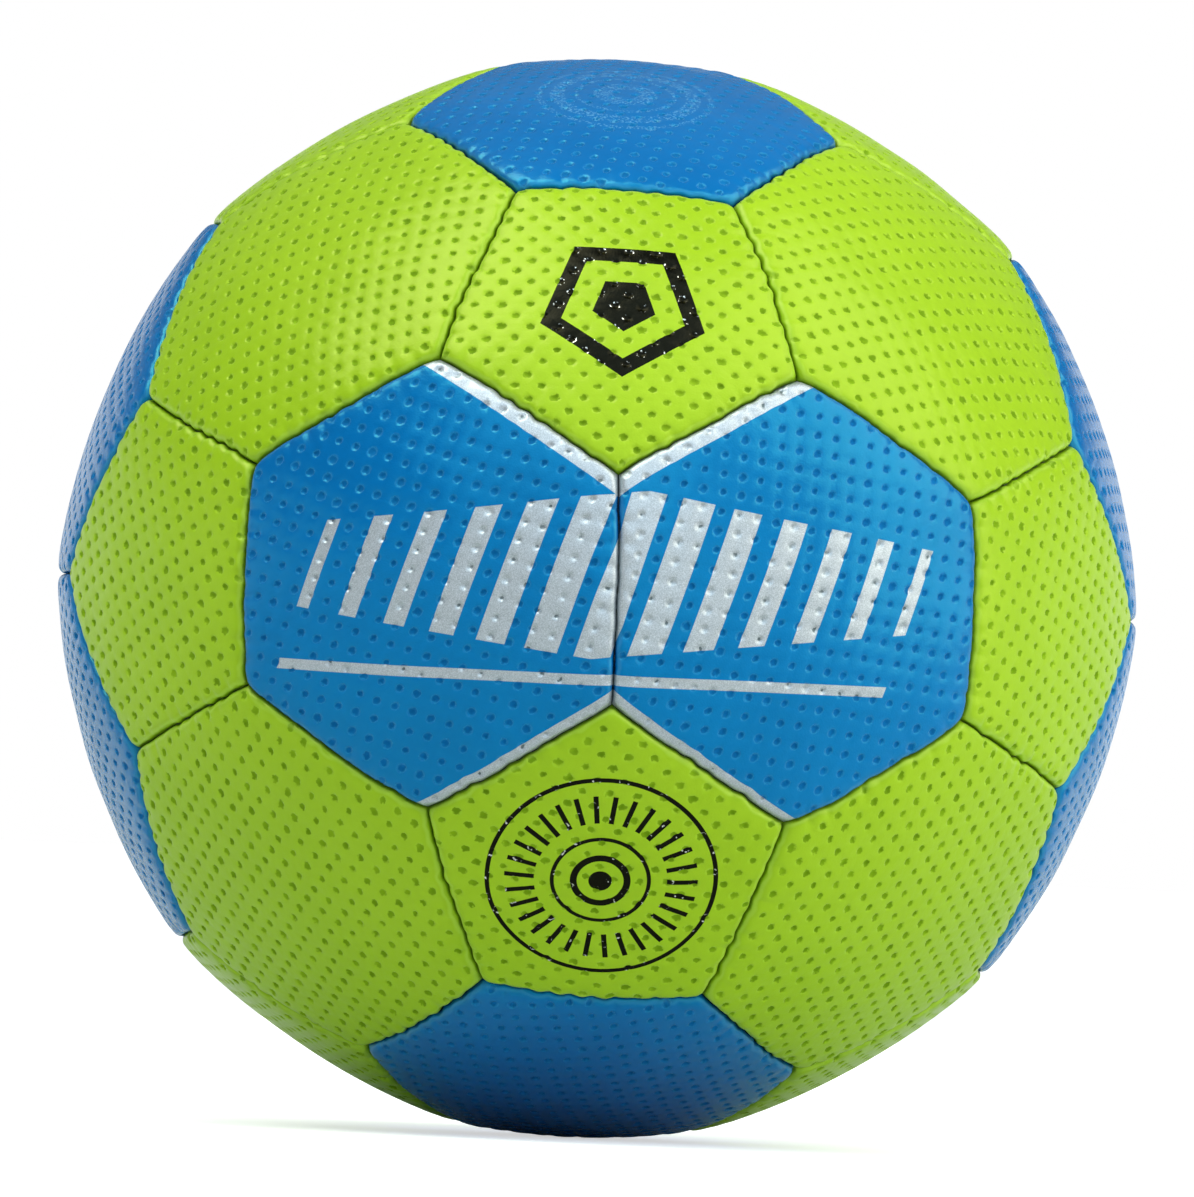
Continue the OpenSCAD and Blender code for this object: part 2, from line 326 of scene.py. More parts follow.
# How strongly a painted highlight lies on the dimples' rims
RIM_HIGHLIGHT = 0.07

# Where the parts of a dimple's dark dot, which is partly painted shade, and of its painted rim highlight
# begin and are full, in shares of the way to its rim
DOT_EDGE = (1.15, 0.75)
DOT_MIDDLE = (0.6, 0.25)
RIM_INSIDE = (0.75, 1.05)
RIM_OUTSIDE = (1.5, 1.15)

# Where the painted shade beside a seam, the painted highlight on its lip and the painted shade of its slit
# begin and are full, by the distance from it, and how ragged they are
SEAM_SHADE_REACH = (2.2, 0.1)
SEAM_SHADE_RAGGED = 0.8
LIP_HIGHLIGHT_START = (0.2, 0.45)
LIP_HIGHLIGHT_END = (1.2, 0.6)
LIP_HIGHLIGHT_RAGGED = 0.35
SLIT_REACH = (0.35, 0.05)
SLIT_RAGGED = 0.15
SLIT_SHADE_SHARE = 0.6

# The inks, the bare leather and its grain
# The silver ink's two tones, and the painted shade in some of its dimples
SILVER = ((0.34, 0.36, 0.39, 1), (0.56, 0.58, 0.62, 1), (0.06, 0.06, 0.07, 1))
SILVER_METALLIC = 0.55
SILVER_ROUGHNESS = (0.28, 0.5)
SPARKLE_SCALE = 5.5
SPECK_SHARE = 0.85
BLACK = ((0.002, 0.0022, 0.002, 1), (0.006, 0.0065, 0.006, 1))
BLACK_METALLIC = 0.85
BLACK_ROUGHNESS = 0.25
# The painted glint on the black ink's dimple rims, and the scale of the noise that picks the rims
GLINT = (0.6, 0.62, 0.58, 1)
GLINT_SCALE = 1.8
CLEAR_SHARE = 0.5
CLEAR_ROUGHNESS = 0.22
CLEAR_SPECK_SCALE = 2.2
BACKING = (0.05, 0.05, 0.045, 1)
BACKING_ROUGHNESS = 0.9
GRAIN_SCALE = 2.6
FINE_SCALE = 4.5
GRAIN_DEPTHS = (0.008, 0.016)

# Each rubber: its colour, that of the dust on it, its roughness and the depth of its grain
SOCKET_RUBBER = ((0.03, 0.03, 0.03, 1), (0.1, 0.1, 0.1, 1), 0.6, 0.03)
CORE_RUBBER = ((0.012, 0.012, 0.012, 1), (0.05, 0.05, 0.05, 1), 0.5, 0.02)
BLADDER_RUBBER = ((0.02, 0.02, 0.02, 1), (0.07, 0.07, 0.07, 1), 0.45, 0.02)
DUST_SCALE = 0.35
DUST_REACH = (0.4, 0.75)
DUST_SHARE = 0.6
RUBBER_SCALE = 4.0
RUBBER_UNEVEN = 0.08

# Each cloth: its colours across and along, and how far its threads lie apart
LINING_CLOTH = ((0.78, 0.75, 0.68, 1), (0.66, 0.63, 0.56, 1), 0.7)
PATCH_CLOTH = ((0.2, 0.2, 0.2, 1), (0.13, 0.13, 0.13, 1), 0.5)
WEAVE_DEPTH = 0.08
FUZZ_SCALE = 3.0
FUZZ_SHARE = 0.4
FUZZ_SHADE = (0.7, 0.7, 0.7, 1)

# The waxed thread
THREAD_COLOURS = ((0.012, 0.016, 0.012, 1), (0.05, 0.06, 0.045, 1))
PLY_TURN = 9.0
PLY_DEPTH = 0.08
PLY_SHARE = 0.7
WAX_SCALE = 1.6
WAX_ROUGHNESS = (0.4, 0.7)

# The view: the ball's turn before the camera in degrees, how far off the camera stands, how wide it sees
# there, its sensor, and how many metres far it sees
VIEW_TURN = (-0.757, 2.558, 1.837)
CAMERA_DISTANCE = 3020.0
FRAME_WIDTH = 208.5
SENSOR = 36.0
VIEW_END = 100

# The floor: half its width in metres, its two paints and the noise between them, its glow for the camera
# beside the ball, and how far off it starts to be white and is white, for the camera and for gloss
FLOOR_HALF = 30.0
FLOOR_PAINT = ((0.65, 0.69, 0.71, 1), (0.68, 0.72, 0.74, 1))
FLOOR_CLOUD_SCALE = 0.02
FLOOR_GLOW = 0.58
FLOOR_GLOW_REACH = (250, 900)
FLOOR_SHINE_REACH = (900, 3000)

# The world: its level from below and from above, and the heights between which that changes and between which
# the white backdrop ends, where straight up is 1
SKY = (0.05, 0.24)
SKY_REACH = (-0.6, 0.8)
BACKDROP_FADE = (0.25, 0.1)

# The lamps: of each its direction from the ball, its distance and size in metres, the level to which it
# lights a white face, and its colour
WHITE = (1, 1, 1, 1)
WARM = (1.0, 0.97, 0.88)
COOL = (0.8, 0.98, 1.12)
LAMPS = (
    ("key_upper_right", (0.65, -0.33, 0.67), 1.4, 1.25, 0.75, WARM),
    ("upper_left", (-0.42, -0.22, 0.88), 1.4, 1.0, 0.8, WARM),
    ("right", (0.93, -0.35, 0.0), 1.5, 1.2, 0.4, WARM),
    ("left", (-0.97, -0.2, -0.05), 1.5, 1.0, 0.04, COOL),
    ("front", (0.32, -1.0, 0.28), 2.4, 1.6, 0.09, COOL),
)
# A lamp that adds only its shine, and one that lights the ball's far side with no shine of its own
SHEEN_LAMP = ("sheen_front_top", (-0.1, -0.72, 0.69), 1.4, 1.6, 0.6, COOL)
BACK_LAMP = ("back", (0.1, 1.0, 0.35), 1.6, 1.2, 0.55, WARM)


def unit(v):
    v = np.asarray(v, float)
    return v / np.linalg.norm(v, axis=-1, keepdims=True)


def angle_between(a, b):
    return math.acos(float(np.clip(unit(a) @ unit(b), -1, 1)))


SIGNS = (-1, 1)
CORNER_A, CORNER_B, CORNER_C = np.array([(1, 0, GOLDEN), (-1, 0, GOLDEN), (0, GOLDEN, 1)])
SIDE_ANGLE = {
    6: angle_between(CORNER_A + CORNER_B + CORNER_C, CORNER_A + CORNER_B),
    5: angle_between(CORNER_A, 4 * CORNER_A + CORNER_B + CORNER_C),
}
SEAM_HALF_ANGLE = angle_between(CORNER_A + CORNER_B, 2 * CORNER_A + CORNER_B)
ANGLE_SLACK = math.radians(1)


def turns(a, b, c):
    """The three turns of a triple of coordinates."""
    return [(a, b, c), (b, c, a), (c, a, b)]


MIDDLES = {
    5: [v for s in SIGNS for t in SIGNS for v in turns(0, s * GOLDEN, t)],
    6: [v for s in SIGNS for t in SIGNS for v in turns(s / GOLDEN, t * GOLDEN, 0)]
    + [(s, t, q) for s in SIGNS for t in SIGNS for q in SIGNS],
}


class Panel:
    """One panel: its number of sides, and its frame, with the middle along w and flat axes u and v."""

    def __init__(self, name):
        self.name = name
        self.sides = 6 if "hexagon" in name else 5
        low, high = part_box(name)
        where = np.array(low + high)
        self.w = unit(max(MIDDLES[self.sides], key=lambda m: float(unit(m) @ where)))
        self.u = unit(np.cross((0, 0, 1), self.w))
        self.v = np.cross(self.w, self.u)
        self.angle = SIDE_ANGLE[self.sides]
        self.crown = BALL_R - DROP[self.sides]
        across = BALL_R * math.sin(self.angle)
        rise = self.crown - BALL_R * math.cos(self.angle)
        self.dome_r = (across * across + rise * rise) / (2 * rise)
        self.dome_z = self.crown - self.dome_r
        self.seams = []
        self.rng = np.random.default_rng(SEED + sum(name.encode()))

    def directions(self, flat):
        """The directions from the ball's centre through flat places."""
        rho = np.hypot(*flat.T)
        share = np.sinc(rho / FLAT_R / math.pi) / FLAT_R
        sideways = (flat[:, :1] * self.u + flat[:, 1:2] * self.v) * share[:, None]
        return sideways + np.cos(rho / FLAT_R)[:, None] * self.w

    def flat_places(self, directions):
        """The flat places of directions from the ball's centre."""
        angle = np.arccos(np.clip(directions @ self.w, -1, 1))
        a, b = directions @ self.u, directions @ self.v
        share = FLAT_R * angle / np.maximum(np.hypot(a, b), 1e-12)
        return np.stack([a * share, b * share], 1)

    def dome(self, directions, inset=0.0):
        """How far from the ball's centre the panel's dome lies, so far in from its outer surface."""
        up = directions @ self.w
        root = (self.dome_r - inset) ** 2 - self.dome_z**2 * (1 - up * up)
        return self.dome_z * up + np.sqrt(root)


class Seam:
    """The seam between two panels: m through its middle, e along it, and n from the first to the second."""

    def __init__(self, first, second, number):
        self.first, self.second = first, second
        p, q = first.w, second.w
        self.m = unit(p * math.sin(second.angle) + q * math.sin(first.angle))
        self.n = unit(q - (q @ self.m) * self.m)
        self.e = np.cross(self.n, self.m)
        rng = np.random.default_rng(SEED + number)
        pitch = STITCH_PITCH / STITCH_R
        steps = int(2 * (SEAM_HALF_ANGLE - CORNER_PLAIN / STITCH_R) / pitch)
        self.stitches = (np.arange(steps + 1) - steps / 2) * pitch * FLAT_R
        self.stitches = self.stitches + rng.normal(0, STITCH_JITTER, steps + 1)
        self.pulls = rng.uniform(*PULLS, (2, steps + 1))
        self.waves = rng.uniform(*WAVES, steps)
        if "blue" in second.name:
            self.waves *= rng.uniform(*BLUE_WAVES, steps)
        self.drifts = rng.normal(0, DRIFT_SPREAD, DRIFT_TURNS)

    def side(self, panel):
        """-1 for the first panel and 1 for the second."""
        return -1 if panel is self.first else 1

    def places(self, directions, panel):
        """How far along the seam and in from it, on this panel, directions from the ball's centre lie."""
        along = np.arctan2(directions @ self.e, directions @ self.m) * FLAT_R
        return along, np.arcsin(np.clip(self.side(panel) * (directions @ self.n), -1, 1)) * FLAT_R

    def directions(self, along, inward, panel):
        """Directions from the ball's centre to places along the seam and in from it on one of its panels."""
        t, d = np.asarray(along) / FLAT_R, np.asarray(inward) / FLAT_R
        on_seam = np.cos(t)[:, None] * self.m + np.sin(t)[:, None] * self.e
        return np.cos(d)[:, None] * on_seam + self.side(panel) * np.sin(d)[:, None] * self.n

    def shift(self, along):
        """How far the seam's line lies off its plane, towards the second panel."""
        half = SEAM_HALF_ANGLE * FLAT_R
        share = np.clip(along / half, -1, 1)
        ends = 1 - share**4
        bulges = np.full_like(along, -SCALLOP_MEAN)
        for place, wave in zip((self.stitches[:-1] + self.stitches[1:]) / 2, self.waves):
            bulges += wave * np.exp(-(((along - place) / SCALLOP_HALF_WIDTH) ** 2))
        slow = sum(c * np.sin((k + 1) * math.pi * (share + 1) / 2) for k, c in enumerate(self.drifts))
        return ends * (DRIFT * slow - SCALLOP * bulges)

    def pull(self, along, inward, panel):
        """How deep the stitches draw this panel's surface down."""
        depth = np.zeros_like(along)
        inward = np.maximum(inward, 0)
        for place, strength in zip(self.stitches, self.pulls[int(panel is self.second)]):
            for deepest, half_width, reach in DENTS:
                dent = np.exp(-(((along - place) / half_width) ** 2) - (inward / reach) ** 2)
                depth += strength * deepest * dent
        return depth


def lay_out():
    """The panels, and the seams between them."""
    leathers = [name for name in sorted(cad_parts) if name.startswith(LEATHERS)]
    panels = [Panel(name) for name in leathers if not name.endswith("linings")]
    seams = []
    for i, p in enumerate(panels):
        for q in panels[i + 1 :]:
            if angle_between(p.w, q.w) < p.angle + q.angle + ANGLE_SLACK:
                seam = Seam(p, q, len(seams))
                seams.append(seam)
                p.seams.append(seam)
                q.seams.append(seam)
    for p in panels:
        p.seams.sort(key=lambda s: math.atan2(s.m @ p.v, s.m @ p.u))
    return panels, seams


def turned(places, angle):
    """Flat places turned anticlockwise about the panel's middle."""
    c, s = math.cos(angle), math.sin(angle)
    return places @ np.array([(c, s), (-s, c)])


def chance(cells, number):
    """Numbers from 0 to 1 that look random but are always the same for the same cells of a lattice."""
    value = np.sin(cells[:, 0] * 12.9898 + cells[:, 1] * 78.233 + number * 37.719) * 43758.5453
    return value - np.floor(value)


class Surface:
    """The outer surface of a panel: where each flat place of it lies on the sewn ball."""

    def __init__(self, panel):
        self.panel = panel
        self.valve = panel.name == VALVE_NODE
        rng = panel.rng
        self.diagonal = math.radians(DIAGONAL_TURNS.get(panel.name, rng.uniform(0, 180)))
        self.phase = rng.uniform(0, 1, 2)
        self.lumps = []
        for length in LUMP_LENGTHS:
            for _ in range(2):
                way, start = rng.uniform(0, math.pi), rng.uniform(0, 2 * math.pi)
                self.lumps.append((length, way, start, rng.uniform(*LUMP_STRENGTHS)))

    def seam_places(self, directions):
        """Along and inward places for every seam of the panel, and the distance to the nearest."""
        places = [seam.places(directions, self.panel) for seam in self.panel.seams]
        return places, np.min([inward for _, inward in places], axis=0)

    def to_seam(self, flat):
        """How far flat places lie from the nearest seam."""
        return self.seam_places(self.panel.directions(flat))[1]

    def middles(self, cells):
        """Where the dimples in these cells of the lattice have their middles."""
        places = turned((cells - self.phase) * DIMPLE_PITCH, self.diagonal + math.pi / 4)
        return places + DIMPLE_JITTER * (2 * np.stack([chance(cells, 1), chance(cells, 2)], 1) - 1)

    def dimple_share(self, flat):
        """How far each place lies from the middle of the nearest dimple, as a share of the way to its rim."""
        cells = np.round(turned(flat, -self.diagonal - math.pi / 4) / DIMPLE_PITCH + self.phase)
        middles = self.middles(cells)
        off = turned(flat - middles, -self.diagonal) / (DIMPLE_HALF_LENGTH, DIMPLE_HALF_WIDTH)
        share = np.hypot(*off.T) / self.dimple_sizes(cells)
        return np.where(self.holds_dimple(middles), share, NO_DIMPLE)

    def dimple_sizes(self, cells):
        """How large each dimple is, as a share of the usual size."""
        return 1 + DIMPLE_SPREAD * (2 * chance(cells, 3) - 1)

    def holds_dimple(self, middles):
        """Which dimples the panel has, from the places of their middles."""
        room = self.to_seam(middles) > DIMPLE_TO_SEAM
        if self.valve:
            room &= np.hypot(*middles.T) > VALVE_HOLE_R + VALVE_HOLE_ROLL
        return room

    def points(self, flat, share):
        """Places on the ball of flat places, whose shares of the way to a dimple's rim are given."""
        directions = self.panel.directions(flat)
        places, _ = self.seam_places(directions)
        slope, lip = rolled(places, SLOPE_WIDTH), rolled(places, LIP_WIDTH)
        radius = self.panel.dome(directions)
        radius -= SLOPE_SHARE * GROOVE_DEPTH * rounding(np.minimum(slope, 1))
        radius -= (1 - SLOPE_SHARE) * GROOVE_DEPTH * rounding(np.minimum(lip, 1))
        radius -= JUNCTION_DEPTH * np.maximum(slope - 1, 0)
        radius += self.lump_height(flat) + dimple_height(share)
        if self.valve:
            across = (np.hypot(*flat.T) - VALVE_HOLE_R) / VALVE_HOLE_ROLL
            radius -= VALVE_HOLE_DROP * rounding(np.clip(1 - across, 0, 1))
        sideways = np.zeros_like(directions)
        for seam, (along, inward) in zip(self.panel.seams, places):
            radius -= seam.pull(along, inward, self.panel) * np.clip(PULL_FADE - slope, PULL_LEAST, 1)
            offset = seam.shift(along) + seam.side(self.panel) * SEAM_GAP
            fade = np.exp(-((np.maximum(inward, 0) / SHIFT_REACH) ** 2))
            sideways += (offset * fade)[:, None] * seam.n
        return unit(directions * radius[:, None] + sideways) * radius[:, None]

    def lump_height(self, flat):
        """How high the surface stands at flat places in its long low waves."""
        height = np.zeros(len(flat))
        for length, way, start, strength in self.lumps:
            run = (flat[:, 0] * math.cos(way) + flat[:, 1] * math.sin(way)) * 2 * math.pi / length
            height += LUMP * strength * np.sin(run + start) / len(LUMP_LENGTHS)
        return height


def rolled(places, width):
    """How far the edge has rolled over: 0 at this width from all seams, 1 at a seam, more where two meet."""
    powers = [np.clip(1 - inward / width, 0, None) ** ROLL_POWER for _, inward in places]
    return sum(powers) ** (1 / ROLL_POWER)


def rounding(share):
    """How far a rounded edge drops, as a share of its depth, at a share of the way across it."""
    return 1 - np.sqrt(1 - share * share)


def dimple_height(share):
    """How high the surface stands at shares of the way to a dimple's rim."""
    fall = np.clip((DIMPLE_RIM_SHARE - share) / (DIMPLE_RIM_SHARE - DIMPLE_FLOOR_SHARE), 0, 1)
    rim = np.exp(-(((share - DIMPLE_RIM_TOP) / DIMPLE_RIM_HALF_WIDTH) ** 2))
    return DIMPLE_RIM * rim - DIMPLE_DEPTH * fall * fall * (3 - 2 * fall)


def hand_stitched(points):
    """Points of the ball, moved along its surface to where the hand stitching has put them."""
    radius = np.linalg.norm(points, axis=1, keepdims=True)
    directions = points / radius
    moved = np.zeros_like(points)
    for corner, (right, up) in CORNER_OFFSETS:
        way = unit(corner)
        shift = np.array((right, -(right * way[0] + up * way[2]) / way[1], up))
        shift *= min(1, OFFSET_LIMIT / np.linalg.norm(shift))
        off = (directions - way) * BALL_R / OFFSET_REACH
        moved += np.exp(-(off * off).sum(1))[:, None] * shift
    return unit(points + moved) * radius


def spaced(step, start):
    """Places along a seam, about a step apart and starting at this share of a step from its end."""
    steps = round(2 * SEAM_HALF_ANGLE * FLAT_R / step)
    return ((np.arange(steps) + start) / steps * 2 - 1) * SEAM_HALF_ANGLE * FLAT_R


def edge_of(panel):
    """Directions to the places round a panel's edge, anticlockwise from outside."""
    runs = []
    for seam in panel.seams:
        along = spaced(EDGE_STEP, 0)
        if seam.e @ np.cross(panel.w, seam.m) < 0:
            along = -along
        runs.append(seam.directions(along, np.zeros(len(along)), panel))
    return np.concatenate(runs)


def rows_of(surface):
    """Flat places in rows beside the seams of a panel, clear of its dimples."""
    panel = surface.panel
    rows = []
    for seam in panel.seams:
        for inward, step in SEAM_ROWS:
            along = spaced(step, 0.5)
            directions = seam.directions(along, np.full(len(along), inward), panel)
            others = [other.places(directions, panel)[1] for other in panel.seams if other is not seam]
            clear = np.min(others, axis=0) > inward + step / 2
            rows.append(panel.flat_places(directions[clear]))
    flat = np.concatenate(rows)
    return flat[surface.dimple_share(flat) > DIMPLE_CLEAR]


def dimples_of(surface):
    """Flat places on rings round a panel's dimples, and the share of the way to the rim of each."""
    reach = math.ceil(UV_REACH / DIMPLE_PITCH) + 1
    steps = np.arange(-reach, reach + 1)
    cells = np.stack(np.meshgrid(steps, steps), -1).reshape(-1, 2)
    middles = surface.middles(cells)
    kept = (np.hypot(*middles.T) < UV_REACH) & surface.holds_dimple(middles)
    middles, sizes = middles[kept], surface.dimple_sizes(cells[kept])
    flats, shares = [middles], [np.zeros(len(middles))]
    for number, share in enumerate(DIMPLE_RINGS):
        for k in range(DIMPLE_CORNERS):
            angle = 2 * math.pi * (k + number % 2 / 2) / DIMPLE_CORNERS
            place = np.array([(DIMPLE_HALF_LENGTH * math.cos(angle), DIMPLE_HALF_WIDTH * math.sin(angle))])
            flats.append(middles + share * sizes[:, None] * turned(place, surface.diagonal))
            shares.append(np.full(len(middles), share))
    flat, share = np.concatenate(flats), np.concatenate(shares)
    clear = surface.to_seam(flat) > np.where(share > 1, RINGS_TO_SEAM[1], RINGS_TO_SEAM[0])
    return flat[clear], share[clear]


def triangulate(flat, closed_runs):
    """Anticlockwise triangles between flat places, which start with closed runs of these lengths."""
    edges, start = [], 0
    for length in closed_runs:
        edges += [(start + k, start + (k + 1) % length) for k in range(length)]
        start += length
    _, _, faces, sources, _, _ = delaunay_2d_cdt([Vector(p) for p in flat], edges, [], 0, 1e-5, True)
    source = np.array([ids[0] for ids in sources])
    faces = source[np.array(faces)]
    if len(closed_runs) > 1:
        in_hole = (faces >= closed_runs[0]) & (faces < closed_runs[0] + closed_runs[1])
        faces = faces[~in_hole.all(1)]
    return faces


def on_wall(panel, edge, inset, centre, radius):
    """Places on a panel's walls, so far in from its seams, where they meet a sphere on its axis."""
    up = edge @ panel.w
    radial = edge - up[:, None] * panel.w
    q = np.linalg.norm(radial, axis=1) / up
    apex = inset / math.sin(panel.angle)
    half = q * q * apex + centre
    rest = q * q * apex * apex + centre * centre - radius * radius
    z = (half + np.sqrt(half * half - (q * q + 1) * rest)) / (q * q + 1)
    return z[:, None] * panel.w + (q * (z - apex))[:, None] * unit(radial)


def two_each(a, b, c, d):
    """Two triangles for each four corners a, b, c and d, of which a and d lie across from each other."""
    return np.concatenate([np.stack([c, a, b], 1), np.stack([c, b, d], 1)])


def band(first, second):
    """Triangles between two closed runs of points, given by their numbers, facing out of the panel."""
    return two_each(first, second, np.roll(first, -1), np.roll(second, -1))


def main_uv(flat):
    return UV_EDGE + UV_MAIN * (flat / UV_REACH + 1) / 2


def strip_uv(count, number):
    """UV corners of the triangles that band() makes, in a strip of their own."""
    k = np.arange(count)
    left, right = UV_EDGE + UV_MAIN * k / count, UV_EDGE + UV_MAIN * (k + 1) / count
    low = np.full(count, UV_EDGE + UV_MAIN + UV_STRIP * (number + UV_STRIP_MARGIN))
    high = low + UV_STRIP * (1 - 2 * UV_STRIP_MARGIN)
    return two_each(*[np.stack([x, y], 1) for x in (left, right) for y in (low, high)])


def new_object(name, points, faces):
    """An object with faces between points in millimetres."""
    mesh = bpy.data.meshes.new(name)
    mesh.from_pydata((points * MM).tolist(), [], faces)
    piece = bpy.data.objects.new(name, mesh)
    bpy.context.scene.collection.objects.link(piece)
    return piece


def carry(mesh, name, values, elsewhere):
    """Gives a mesh's first points these values, and its other points the one for elsewhere."""
    everywhere = np.full((len(mesh.vertices), *values.shape[1:]), elsewhere, np.float32)
    everywhere[: len(values)] = values
    kind, title = ("FLOAT_VECTOR", "vector") if values.ndim == 2 else ("FLOAT", "value")
    mesh.attributes.new(name, kind, "POINT").data.foreach_set(title, everywhere.ravel())


def to_trim(panel, flat):
    """How far flat places lie outside the printed stripes along a panel's edges, below 0 in them."""
    directions = panel.directions(flat)
    outside = np.array((math.copysign(1, panel.w[0]), 0, 0))
    result = np.full(len(flat), TRIM_LIMIT)
    for seam in panel.seams:
        other = seam.second if panel is seam.first else seam.first
        width = TRIM_WIDTHS.get(other.name)
        if width:
            along, inward = seam.places(directions, panel)
            outward = along * math.copysign(1, seam.e @ outside)
            share = np.clip(outward / (SEAM_HALF_ANGLE * FLAT_R), -1, 1)
            result = np.minimum(result, inward - width * (1 - TRIM_TAPER * share))
    return result


class Shell:
    """A closed mesh as it grows: its points, its triangles, and where those lie on the unwrapped map."""

    def __init__(self):
        self.points, self.triangles, self.uvs = [], [], []
        self.count = 0

    def add_points(self, points):
        """Takes in points, and says what numbers they have got."""
        start = self.count
        self.points.append(points)
        self.count += len(points)
        return np.arange(start, self.count)

    def add_triangles(self, triangles, uv):
        self.triangles.append(triangles)
        self.uvs.append(uv)


def hole_circle(radius):
    """Flat places round the valve's hole."""
    angle = np.arange(VALVE_HOLE_CORNERS) * 2 * math.pi / VALVE_HOLE_CORNERS
    return np.stack([np.cos(angle), np.sin(angle)], 1) * radius


def skin_of(surface, edge):
    """A skin's flat places, their shares of the way to a rim, and the lengths of its closed runs."""
    flats, runs = [surface.panel.flat_places(edge)], [len(edge)]
    if surface.valve:
        flats += [hole_circle(VALVE_HOLE_R + out) for out in VALVE_HOLE_RINGS]
        runs.append(VALVE_HOLE_CORNERS)
    plain = np.full(sum(len(flat) for flat in flats), NO_DIMPLE)
    rows = rows_of(surface)
    dimples, shares = dimples_of(surface)
    flat = np.concatenate([*flats, rows, dimples])
    return flat, np.concatenate([plain, surface.dimple_share(rows), shares]), runs


def add_walls(shell, panel, edge):
    """Adds a panel's flanges, from its edge to the brink of its inner face, and gives the brink's numbers."""
    walls = (
        (SEAM_GAP, 0, WALL_TURN_R),
        (SEAM_GAP, 0, INNER_R),
        (FLANGE_T, 0, INNER_R),
        (FLANGE_T, panel.dome_z, panel.dome_r - SKIN_T),
    )
    last = np.arange(len(edge))
    for number, (inset, centre, radius) in enumerate(walls):
        here = shell.add_points(on_wall(panel, edge, inset, centre, radius))
        shell.add_triangles(band(last, here), strip_uv(len(edge), number))
        last = here
    return last


def add_inner_face(shell, surface, brink):
    """Adds a panel's inner face within its brink, and the wall of the valve's hole."""
    panel = surface.panel
    count = len(brink)
    flats, runs = [panel.flat_places(unit(shell.points[-1]))], [count]
    ticks = np.arange(-UV_REACH, UV_REACH, INNER_STEP)
    grid = np.stack(np.meshgrid(ticks, ticks), -1).reshape(-1, 2)
    clear = surface.to_seam(grid) > FLANGE_T + INNER_STEP / 3
    if surface.valve:
        clear &= np.hypot(*grid.T) > VALVE_HOLE_R + INNER_STEP / 3
        flats.append(hole_circle(VALVE_HOLE_R))
        runs.append(VALVE_HOLE_CORNERS)
    flat = np.concatenate([*flats, grid[clear]])
    directions = panel.directions(flat[count:])
    inner = shell.add_points(directions * panel.dome(directions, SKIN_T)[:, None])
    cap = triangulate(flat, runs)[:, ::-1]
    uv = 1 - UV_EDGE / 2 - UV_CAP * (1 - (flat[cap] / UV_REACH + 1) / 2)
    shell.add_triangles(np.concatenate([brink, inner])[cap], uv)
    if surface.valve:
        mouth = np.arange(count, count + VALVE_HOLE_CORNERS)
        wall = band(mouth, inner[:VALVE_HOLE_CORNERS])
        shell.add_triangles(wall[:, ::-1], strip_uv(VALVE_HOLE_CORNERS, UV_HOLE_STRIP)[:, ::-1])


def build_panel(panel):
    """The closed mesh of one panel: its dimpled skin, its turned-in flanges and its inside."""
    surface, shell = Surface(panel), Shell()
    edge = edge_of(panel)
    flat, share, runs = skin_of(surface, edge)
    shell.add_points(surface.points(flat, share))
    triangles = triangulate(flat, runs)
    shell.add_triangles(triangles, main_uv(flat)[triangles])
    add_inner_face(shell, surface, add_walls(shell, panel, edge))
    points = hand_stitched(np.concatenate(shell.points))
    piece = new_object(panel.name + "_skin", points, np.concatenate(shell.triangles).tolist())
    mesh = piece.data
    uv = np.concatenate(shell.uvs).astype(np.float32)
    mesh.uv_layers.new(name="OFBake").uv.foreach_set("vector", uv.ravel())
    carry(mesh, "flat", np.pad(flat, ((0, 0), (0, 1))), 0)
    carry(mesh, "dimple", np.minimum(share, DIMPLE_SHARE_LIMIT), DIMPLE_SHARE_LIMIT)
    carry(mesh, "to_seam", np.maximum(surface.to_seam(flat), 0), -1)
    if panel.name in TRIMMED:
        carry(mesh, "trim", to_trim(panel, flat), TRIM_LIMIT)
    mesh.shade_smooth()
    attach(piece, "root")
    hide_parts(panel.name)
    return piece


class Value:
    """What a node puts out, with arithmetic on it; & is where both masks hold, and | is where either does."""

    def __init__(self, shader, socket):
        self.shader = shader
        self.socket = socket

    def __add__(self, other):
        return self.shader.math("ADD", self, other)

    def __sub__(self, other):
        return self.shader.math("SUBTRACT", self, other)

    def __mul__(self, other):
        return self.shader.math("MULTIPLY", self, other)

    def __abs__(self):
        return self.shader.math("ABSOLUTE", self)

    def __and__(self, other):
        return self * other

    def __or__(self, other):
        return self.shader.math("MAXIMUM", self, other)

    def wrapped(self, half):
        """The value brought between -half and half, in steps of twice that."""
        return self.shader.math("WRAP", self, half, -half)

    def rise(self, low, high):
        """0 up to low, 1 from high on, and smooth between."""
        node = self.shader.node("MapRange", self, low, high, 0, 1, interpolation_type="SMOOTHSTEP")
        return self.shader.out(node)

    def span(self, low, high, start, end):
        """Start at low and end at high, straight between."""
        return self.shader.out(self.shader.node("MapRange", self, low, high, start, end))


